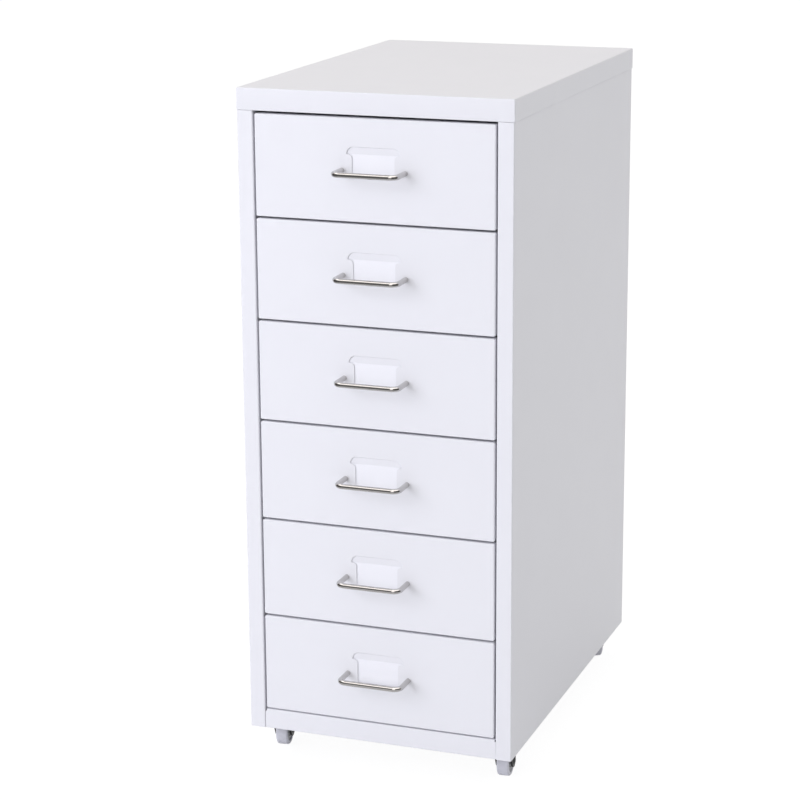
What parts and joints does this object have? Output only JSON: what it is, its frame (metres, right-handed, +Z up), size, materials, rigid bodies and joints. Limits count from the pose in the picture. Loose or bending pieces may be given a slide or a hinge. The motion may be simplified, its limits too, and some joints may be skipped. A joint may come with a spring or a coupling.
{
  "type": "mobile drawer cabinet",
  "caption": "Tall narrow sheet-steel cabinet of equal drawers with bent wire handles and label holders, standing on small swivel casters.",
  "frame": {"origin": "on the floor, in the middle of the space that the cabinet with its handles takes up", "axes": "+Z up, -Y towards the user in front of the drawers, +X to the right seen from the front"},
  "size_m": [0.28, 0.4488, 0.69],
  "materials": {
    "white_powder_coat": "satin powder coat on sheet steel",
    "chromed_wire": "polished chrome plate",
    "zinc_steel": "bright zinc plate",
    "black_steel": "black satin paint on pressed steel",
    "grey_wheel": "matt moulded plastic",
    "white_card": "matt card"
  },
  "bodies": {
    "root": {"top_panel": "white_powder_coat", "side_panel_left": "white_powder_coat", "side_panel_right": "white_powder_coat", "back_panel": "white_powder_coat", "back_screws": "zinc_steel", "bottom_panel": "white_powder_coat", "caster_rail_front": "zinc_steel", "caster_rail_rear": "zinc_steel", "caster_stems": "zinc_steel", "caster_nuts": "zinc_steel", "runners_1": "white_powder_coat", "runners_2": "white_powder_coat", "runners_3": "white_powder_coat", "runners_4": "white_powder_coat", "runners_5": "white_powder_coat", "runners_6": "white_powder_coat"},
    "drawer_1": {"drawer_tray_1": "white_powder_coat", "drawer_front_1": "white_powder_coat", "label_card_1": "white_card", "drawer_handle_1": "chromed_wire", "handle_nuts_1": "zinc_steel"},
    "drawer_2": {"drawer_tray_2": "white_powder_coat", "drawer_front_2": "white_powder_coat", "label_card_2": "white_card", "drawer_handle_2": "chromed_wire", "handle_nuts_2": "zinc_steel"},
    "drawer_3": {"drawer_tray_3": "white_powder_coat", "drawer_front_3": "white_powder_coat", "label_card_3": "white_card", "drawer_handle_3": "chromed_wire", "handle_nuts_3": "zinc_steel"},
    "drawer_4": {"drawer_tray_4": "white_powder_coat", "drawer_front_4": "white_powder_coat", "label_card_4": "white_card", "drawer_handle_4": "chromed_wire", "handle_nuts_4": "zinc_steel"},
    "drawer_5": {"drawer_tray_5": "white_powder_coat", "drawer_front_5": "white_powder_coat", "label_card_5": "white_card", "drawer_handle_5": "chromed_wire", "handle_nuts_5": "zinc_steel"},
    "drawer_6": {"drawer_tray_6": "white_powder_coat", "drawer_front_6": "white_powder_coat", "label_card_6": "white_card", "drawer_handle_6": "chromed_wire", "handle_nuts_6": "zinc_steel"},
    "swivel_front_left": {"caster_fork_front_left": "black_steel", "caster_axle_front_left": "zinc_steel"},
    "wheel_front_left": {"caster_wheel_front_left": "grey_wheel"},
    "swivel_front_right": {"caster_fork_front_right": "black_steel", "caster_axle_front_right": "zinc_steel"},
    "wheel_front_right": {"caster_wheel_front_right": "grey_wheel"},
    "swivel_rear_left": {"caster_fork_rear_left": "black_steel", "caster_axle_rear_left": "zinc_steel"},
    "wheel_rear_left": {"caster_wheel_rear_left": "grey_wheel"},
    "swivel_rear_right": {"caster_fork_rear_right": "black_steel", "caster_axle_rear_right": "zinc_steel"},
    "wheel_rear_right": {"caster_wheel_rear_right": "grey_wheel"}
  },
  "joints": [
    {"name": "drawer_1_slide", "type": "slide", "parent": "root", "child": "drawer_1", "axis": [0, -1, 0], "range_m": [0, 0.29]},
    {"name": "drawer_2_slide", "type": "slide", "parent": "root", "child": "drawer_2", "axis": [0, -1, 0], "range_m": [0, 0.29]},
    {"name": "drawer_3_slide", "type": "slide", "parent": "root", "child": "drawer_3", "axis": [0, -1, 0], "range_m": [0, 0.29]},
    {"name": "drawer_4_slide", "type": "slide", "parent": "root", "child": "drawer_4", "axis": [0, -1, 0], "range_m": [0, 0.29]},
    {"name": "drawer_5_slide", "type": "slide", "parent": "root", "child": "drawer_5", "axis": [0, -1, 0], "range_m": [0, 0.29]},
    {"name": "drawer_6_slide", "type": "slide", "parent": "root", "child": "drawer_6", "axis": [0, -1, 0], "range_m": [0, 0.29]},
    {"name": "swivel_front_left_turn", "type": "hinge", "parent": "root", "child": "swivel_front_left", "pos_m": [-0.12, -0.16165, 0.0405], "axis": [0, 0, 1], "continuous": true},
    {"name": "wheel_front_left_spin", "type": "hinge", "parent": "swivel_front_left", "child": "wheel_front_left", "pos_m": [-0.12219, -0.14782, 0.016], "axis": [0.9877, 0.1564, 0], "continuous": true},
    {"name": "swivel_front_right_turn", "type": "hinge", "parent": "root", "child": "swivel_front_right", "pos_m": [0.12, -0.16165, 0.0405], "axis": [0, 0, 1], "continuous": true},
    {"name": "wheel_front_right_spin", "type": "hinge", "parent": "swivel_front_right", "child": "wheel_front_right", "pos_m": [0.11878, -0.1477, 0.016], "axis": [0.9962, 0.0872, 0], "continuous": true},
    {"name": "swivel_rear_left_turn", "type": "hinge", "parent": "root", "child": "swivel_rear_left", "pos_m": [-0.12, 0.19035, 0.0405], "axis": [0, 0, 1], "continuous": true},
    {"name": "wheel_rear_left_spin", "type": "hinge", "parent": "swivel_rear_left", "child": "wheel_rear_left", "pos_m": [-0.12433, 0.20366, 0.016], "axis": [0.9511, 0.309, 0], "continuous": true},
    {"name": "swivel_rear_right_turn", "type": "hinge", "parent": "root", "child": "swivel_rear_right", "pos_m": [0.12, 0.19035, 0.0405], "axis": [0, 0, 1], "continuous": true},
    {"name": "wheel_rear_right_spin", "type": "hinge", "parent": "swivel_rear_right", "child": "wheel_rear_right", "pos_m": [0.113, 0.20247, 0.016], "axis": [0.866, 0.5, 0], "continuous": true}
  ]
}
